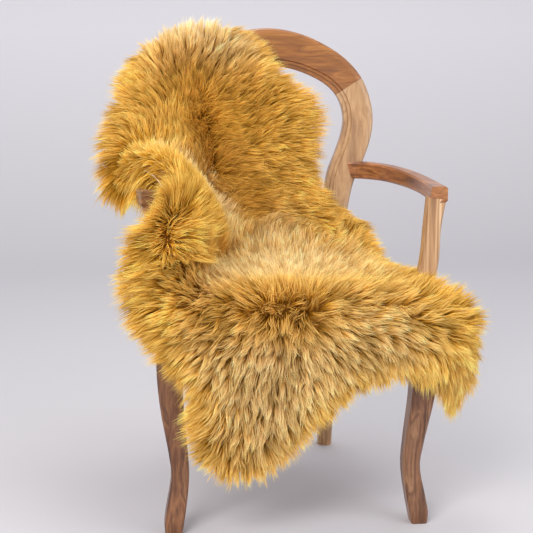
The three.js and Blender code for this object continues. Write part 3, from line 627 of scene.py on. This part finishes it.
def paint(obj, rows, columns, s, shade, warm):
    """Colour strands from the root to the tip, each shaded and warmed as a whole."""
    c_root, c_middle, c_tip = zone_colours(rows, columns)
    share = np.append(np.repeat(s[:-1], 2), 1.0)
    # The dark root tone, partly painted shade between the locks, gives way to the middle's and then to the
    # tip's.
    lower = smooth((share - MIDDLE_FROM) / MIDDLE_OVER)[None, :, None]
    upper = smooth((share - TIP_FROM) / TIP_OVER)[None, :, None]
    colour = c_root[:, None] * (1 - lower) + c_middle[:, None] * lower
    colour = colour * (1 - upper) + c_tip[:, None] * upper
    # A darker lock is the deeper yellow, a lighter one the paler.
    colour = colour * np.clip(shade, *SHADES)[:, None, None] ** np.array(DEEPENING)
    colour[..., 2] *= np.clip(1 - WARMTH * warm, 0.7, 1.3)[:, None]
    colour = np.clip(colour, 0, 1)
    rgba = np.concatenate([colour, np.ones(colour.shape[:2] + (1,))], 2).reshape(-1, 4)
    layer = obj.data.color_attributes.new("wool_colour", "FLOAT_COLOR", "POINT")
    layer.data.foreach_set("color", rgba.astype(np.float32).ravel())


def fleece_piece(name, locks, per_lock, segments, seed, width, stretch, material):
    """One share of the wool: flat tapering strands that gather into locks towards their tips."""
    rng = np.random.default_rng(seed)
    rows, columns = scatter(locks, rng)
    s = np.linspace(FROM_ROOT, 1, segments + 1)
    root, length, guide, near, inner = lock_guides(rows, columns, s, stretch, rng)

    # The strands of each lock, rooted around it, and drawn to its middle line.
    pick = np.repeat(np.arange(locks), per_lock)
    count = len(pick)
    r2 = np.clip(rows[pick] + rng.normal(0, ROOT_SPREAD[0], count), 0, ROWS - 1e-3)
    c2 = np.clip(columns[pick] + rng.normal(0, ROOT_SPREAD[1], count), 0, COLUMNS - 1e-3)
    own_root, own_normal, own_first, own_last, _ = growth(r2, c2, rng, STRAND_STRAY)
    own_length = length[pick] * rng.uniform(*STRAND_LENGTHS, count)
    own = course(own_root, own_first, own_last, own_length, s)
    held = rng.uniform(size=count) < HELD
    hold = np.where(held, rng.uniform(*HELD_WELL, count), rng.uniform(*HELD_LOOSELY, count))
    hold *= 0.6 + 0.4 * inner[pick]
    gather = hold[:, None, None] * (s ** 0.7)[None, :, None]
    reach = (own_length / length[pick])[:, None, None]
    shared = guide[pick]
    tipped = root[pick][:, None] + (shared - root[pick][:, None]) * reach
    spread = rng.normal(0, SPREAD, (count, 1, 3)) * (1 - 0.5 * s)[None, :, None]
    path = own * (1 - gather) + (tipped + spread) * gather
    path += rng.normal(0, KINK, (count, segments + 1, 3)) * s[None, :, None]
    facing = own_normal * 0.7 + rng.normal(0, 0.2, (count, 3))
    half = width * 0.5 * rng.uniform(0.75, 1.3, count) * (0.72 + 0.28 * inner[pick])
    half = half[:, None] * np.interp(s, *THICKNESS)[None]
    obj = ribbons(name, path, facing, shared[:, segments // 2], half)

    # Whole locks are a little lighter or deeper, and a little warmer.
    tuft_shade = np.random.default_rng(4).normal(size=TUFTS)[near]
    shade = 1 + LOCAL_SHADE * waves(root, 46, 5) + LOCK_SHADE * rng.normal(size=locks)
    shade = shade + TUFT_SHADE * tuft_shade
    shade = shade[pick] + STRAND_SHADE * rng.normal(size=count)
    warm = (0.5 * waves(root, 70, 9) + 0.5 * rng.normal(size=locks))[pick]
    paint(obj, r2, c2, s, shade, warm)
    obj.data.materials.append(material)
    return obj


# Materials
def new_material(name):
    material = bpy.data.materials.new(name)
    material.use_nodes = True
    nodes, links = material.node_tree.nodes, material.node_tree.links
    nodes.clear()
    output = nodes.new("ShaderNodeOutputMaterial")
    shader = nodes.new("ShaderNodeBsdfPrincipled")
    links.new(shader.outputs[0], output.inputs[0])
    return material, nodes, links, shader, output


def wool_material():
    material, nodes, links, shader, output = new_material("golden_wool")
    colour = nodes.new("ShaderNodeAttribute")
    colour.attribute_name = "wool_colour"
    shader.inputs["Roughness"].default_value = 0.62
    shader.inputs["Specular IOR Level"].default_value = 0.08
    glow = nodes.new("ShaderNodeBsdfTranslucent")
    mix = nodes.new("ShaderNodeMixShader")
    mix.inputs[0].default_value = 0.2
    links.new(colour.outputs["Color"], shader.inputs["Base Color"])
    links.new(colour.outputs["Color"], glow.inputs["Color"])
    links.new(shader.outputs[0], mix.inputs[1])
    links.new(glow.outputs[0], mix.inputs[2])
    links.new(mix.outputs[0], output.inputs[0])
    return material


def mapping(nodes, links, scale):
    coordinates = nodes.new("ShaderNodeTexCoord")
    place = nodes.new("ShaderNodeMapping")
    place.inputs["Scale"].default_value = scale
    links.new(coordinates.outputs["Object"], place.inputs["Vector"])
    return place


def noise(nodes, links, place, scale, detail, distortion=0.0):
    texture = nodes.new("ShaderNodeTexNoise")
    texture.inputs["Scale"].default_value = scale
    texture.inputs["Detail"].default_value = detail
    texture.inputs["Distortion"].default_value = distortion
    links.new(place.outputs[0], texture.inputs["Vector"])
    return texture


def ramp(nodes, links, source, stops):
    node = nodes.new("ShaderNodeValToRGB")
    while len(node.color_ramp.elements) < len(stops):
        node.color_ramp.elements.new(0.5)
    for element, (place, colour) in zip(node.color_ramp.elements, stops):
        element.position = place
        element.color = (*linear(*colour), 1)
    links.new(source, node.inputs[0])
    return node


def bumped(nodes, links, shader, texture, strength, distance):
    bump = nodes.new("ShaderNodeBump")
    bump.inputs["Strength"].default_value = strength
    bump.inputs["Distance"].default_value = distance
    links.new(texture.outputs["Fac"], bump.inputs["Height"])
    links.new(bump.outputs[0], shader.inputs["Normal"])


def under_wool_material():
    material, nodes, links, shader, _ = new_material("under_wool")
    place = mapping(nodes, links, (1, 1, 1))
    tufts = noise(nodes, links, place, 260, 6, 0.6)
    # Dark golden brown: partly the roots' tone, partly painted shade deep between the locks.
    tone = ramp(nodes, links, tufts.outputs["Fac"], [
        (0.3, (110, 66, 8)), (0.55, (150, 98, 18)), (0.75, (184, 126, 32))])
    links.new(tone.outputs[0], shader.inputs["Base Color"])
    shader.inputs["Roughness"].default_value = 0.9
    bumped(nodes, links, shader, tufts, 0.9, 0.004)
    return material


def suede_material():
    material, nodes, links, shader, _ = new_material("suede_skin")
    place = mapping(nodes, links, (1, 1, 1))
    cloud = noise(nodes, links, place, 9, 5, 0.4)
    nap = noise(nodes, links, place, 900, 3)
    tone = ramp(nodes, links, cloud.outputs["Fac"], [
        (0.3, (198, 168, 122)), (0.52, (216, 190, 148)), (0.72, (228, 206, 168))])
    links.new(tone.outputs[0], shader.inputs["Base Color"])
    shader.inputs["Roughness"].default_value = 0.95
    shader.inputs["Sheen Weight"].default_value = 0.35
    bumped(nodes, links, shader, nap, 0.25, 0.001)
    return material


WALNUT = (168, 114, 70)  # the mean tone, to which a weaker contrast draws the others
FIGURE = [
    (0.30, (112, 70, 40)), (0.40, (158, 104, 62)), (0.50, (190, 134, 86)),
    (0.57, (142, 92, 54)), (0.64, (200, 146, 98)), (0.78, (170, 116, 72)),
]


def wood_material(name, stretch, turn, tint_and_sheen, contrast):
    """Varnished walnut. The figure is drawn out along the axis whose stretch is smallest."""
    material, nodes, links, shader, _ = new_material(name)
    place = mapping(nodes, links, stretch)
    place.inputs["Rotation"].default_value = turn
    broad = noise(nodes, links, place, 4.5, 2, 0.7)
    fine = noise(nodes, links, place, 26, 3, 0.5)
    pores = noise(nodes, links, place, 160, 2)

    # The tint scales the figure's colours; where it is pale and bluish it is painted sheen.
    def shaded(colour):
        return tuple(min(255, (m + contrast * (c - m)) * k) for c, m, k in zip(colour, WALNUT, tint_and_sheen))

    tone = ramp(nodes, links, broad.outputs["Fac"], [(place, shaded(colour)) for place, colour in FIGURE])
    dark = 255 - 56 * contrast
    streak = ramp(nodes, links, fine.outputs["Fac"], [
        (0.36, (dark, dark - 12, dark - 22)), (0.6, (255, 255, 255))])
    mix = nodes.new("ShaderNodeMix")
    mix.data_type = "RGBA"
    mix.blend_type = "MULTIPLY"
    mix.inputs["Factor"].default_value = 0.75
    links.new(tone.outputs[0], mix.inputs["A"])
    links.new(streak.outputs[0], mix.inputs["B"])
    links.new(mix.outputs["Result"], shader.inputs["Base Color"])
    gloss = nodes.new("ShaderNodeMapRange")
    gloss.inputs["To Min"].default_value = 0.34
    gloss.inputs["To Max"].default_value = 0.5
    links.new(fine.outputs["Fac"], gloss.inputs["Value"])
    links.new(gloss.outputs[0], shader.inputs["Roughness"])
    shader.inputs["Coat Weight"].default_value = 0.3
    shader.inputs["Coat Roughness"].default_value = 0.18
    bumped(nodes, links, shader, pores, 0.12, 0.0006)
    return material


def slab(name, lower, upper, step):
    """A closed slab between two grids of points, every step cells."""
    low, high = lower[::step, ::step], upper[::step, ::step]
    rows, columns = low.shape[:2]
    lift = rows * columns
    index = np.arange(lift).reshape(rows, columns)
    a, b, c, d = index[:-1, :-1], index[1:, :-1], index[1:, 1:], index[:-1, 1:]
    e, f, g, h = (q + lift for q in (a, b, c, d))
    faces = [np.stack([e, f, g, h], 2).reshape(-1, 4), np.stack([a, d, c, b], 2).reshape(-1, 4)]
    rim = np.concatenate([index[:, 0], index[-1, 1:], index[-2::-1, -1], index[0, -2::-1]])[:-1]
    after = np.roll(rim, -1)
    faces.append(np.stack([rim, after, after + lift, rim + lift], 1))
    points = np.concatenate([low.reshape(-1, 3), high.reshape(-1, 3)])
    return mesh_object(name, metres(points), np.concatenate(faces))


# The hide itself: a thin leather sheet.
SKIN = 2.0  # its thickness in millimetres
hide = slab("hide", HIDE + NORMAL * 0.1, HIDE + NORMAL * SKIN, 2)
hide.data.materials.append(suede_material())
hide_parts("fleece")
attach(hide, "root")

# The dense under wool that closes the fleece below the locks. Its dark golden brown is partly the roots' tone
# and partly painted shade, the shade seen deep between the locks.
UNDER_SHARE, UNDER_SLOPE, LUMPY = 0.2, 0.4, 0.12  # its depth to the wool's length, at the rim, and its lumps
depth = np.minimum(LENGTH * UNDER_SHARE, UNDER_SLOPE * EDGE + 1.0)
lumps = waves(HIDE.reshape(-1, 3), 26, 3).reshape(HIDE.shape[:2])
depth = depth * (1 + LUMPY * lumps) + SKIN
under = slab("under_wool", HIDE + NORMAL * (SKIN + 0.2), HIDE + NORMAL * (depth + 0.4)[..., None], 4)
under.data.materials.append(under_wool_material())
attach(under, "root")

wool = wool_material()
SHARES = [
    # name, locks, strands to a lock, segments, seed, width, stretch
    ("wool_a", 4700, 8, 3, 11, 1.7, 0.98),
    ("wool_b", 4700, 8, 3, 12, 1.7, 1.0),
    ("wool_c", 3350, 8, 4, 13, 1.6, 1.0),
    ("wool_d", 3350, 8, 4, 14, 1.5, 1.02),
    ("wool_e", 3350, 8, 4, 15, 1.4, 1.05),
]
for name, locks, per_lock, segments, seed, thick, stretch in SHARES:
    share = fleece_piece(name, locks, per_lock, segments, seed, thick, stretch, wool)
    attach(share, "root")

# Wood, with the grain along each piece.
WOODS = {
    # node: stretch along X, Y and Z, turn, tint of red, green and blue (on the right-hand stile and arm post a
    # pale, bluish tint that is painted sheen of the gloss), contrast
    "crest_rail": ((0.5, 9, 8), (0, 0, 0), (0.89, 0.82, 0.53), 0.6),
    "stile_left": ((9, 9, 0.4), (0, 0.25, 0), (1.0, 1.05, 1.15), 0.5),
    # Painted sheen: the right-hand stile's pale, bluish tint stands for the gloss reflecting the bright
    # surroundings.
    "stile_right": ((7, 9, 0.35), (0, -0.2, 0), (1.07, 1.24, 1.42), 0.4),
    "arm_left": ((3.2, 0.5, 10), (0, 0, 0.3), (0.8, 0.8, 0.8), 1.0),
    "arm_right": ((3.2, 0.5, 10), (0, 0, -0.3), (0.93, 0.88, 0.80), 1.0),
    "arm_post_left": ((9, 9, 0.4), (0, 0, 0), (0.95, 0.95, 0.95), 0.8),
    # Painted sheen, as on the right-hand stile.
    "arm_post_right": ((9, 9, 0.4), (0, 0.1, 0), (1.12, 1.29, 1.5), 0.8),
    "front_leg_left": ((9, 9, 0.4), (0, 0.1, 0), (0.74, 0.69, 0.65), 1.1),
    "front_leg_right": ((9, 9, 0.4), (0, -0.1, 0), (0.74, 0.72, 0.74), 1.1),
    "front_rail": ((0.4, 9, 9), (0, 0, 0), (0.9, 0.9, 0.9), 0.9),
    "back_rail": ((0.4, 9, 9), (0, 0, 0), (0.9, 0.9, 0.9), 0.9),
    "side_rail_left": ((9, 0.4, 9), (0, 0, 0), (0.9, 0.9, 0.9), 0.9),
    "side_rail_right": ((9, 0.4, 9), (0, 0, 0), (0.9, 0.9, 0.9), 0.9),
    "seat_board": ((9, 0.4, 9), (0, 0, 0), (0.95, 0.95, 0.95), 0.9),
}
for node, (stretch, turn, tint_and_sheen, contrast) in WOODS.items():
    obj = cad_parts[node]
    material = wood_material("walnut_" + node, stretch, turn, tint_and_sheen, contrast)
    obj.data.materials.clear()
    obj.data.materials.append(material)

# Floor that turns up into a backdrop, pale lilac grey, with painted shade on the floor and painted light up the
# wall.
FLOOR_FRONT, FLOOR_BACK, CURVE, WALL_TOP, HALF_WIDTH = -4.0, 2.6, 1.6, 6.0, 7.0
profile = [(FLOOR_FRONT, 0.0), (FLOOR_BACK, 0.0)]
profile += [
    (FLOOR_BACK + CURVE * math.sin(a), CURVE - CURVE * math.cos(a)) for a in np.linspace(0.1, math.pi / 2, 14)
]
profile += [(FLOOR_BACK + CURVE, WALL_TOP)]
verts = [(x, y, z) for y, z in profile for x in (-HALF_WIDTH, HALF_WIDTH)]
faces = [(2 * i, 2 * i + 1, 2 * i + 3, 2 * i + 2) for i in range(len(profile) - 1)]
backdrop = mesh_object("backdrop", np.array(verts), faces)
paper, nodes, links, shader, _ = new_material("backdrop_paper")
place = mapping(nodes, links, (1, 1, 1))
height = nodes.new("ShaderNodeSeparateXYZ")
links.new(place.outputs[0], height.inputs[0])
# Painted light: the paper darkens towards the floor and lightens up to a metre of height, as the studio light
# falls off.
tone = nodes.new("ShaderNodeValToRGB")
tone.color_ramp.elements[0].color = (*linear(199, 197, 201), 1)
tone.color_ramp.elements[1].color = (*linear(224, 221, 226), 1)
links.new(height.outputs["Z"], tone.inputs[0])
links.new(tone.outputs[0], shader.inputs["Base Color"])
shader.inputs["Roughness"].default_value = 0.95
backdrop.data.materials.append(paper)

LIGHTS = [
    # name, place, aim, size, power, colour
    ("key", (-1.6, -2.6, 2.6), (0, 0, 0.5), 1.8, 85, (1.0, 0.98, 0.95)),
    ("fill", (2.6, -2.2, 1.6), (0, 0, 0.5), 2.4, 42, (0.97, 0.98, 1.0)),
    ("top", (0.2, 0.4, 3.2), (0, 0.1, 0.4), 1.4, 26, (1.0, 1.0, 1.0)),
]
for name, place, aim, size, power, colour in LIGHTS:
    light = bpy.data.lights.new(name, "AREA")
    light.energy = power
    light.size = size
    light.color = colour
    obj = bpy.data.objects.new(name, light)
    obj.location = place
    obj.rotation_euler = (Vector(place) - Vector(aim)).to_track_quat("Z", "Y").to_euler()
    bpy.context.scene.collection.objects.link(obj)

world = bpy.data.worlds.new("studio")
world.use_nodes = True
sky = world.node_tree.nodes["Background"]
sky.inputs["Color"].default_value = (0.9, 0.9, 0.92, 1)
sky.inputs["Strength"].default_value = 0.85
bpy.context.scene.world = world
bpy.context.scene.view_settings.view_transform = "Standard"
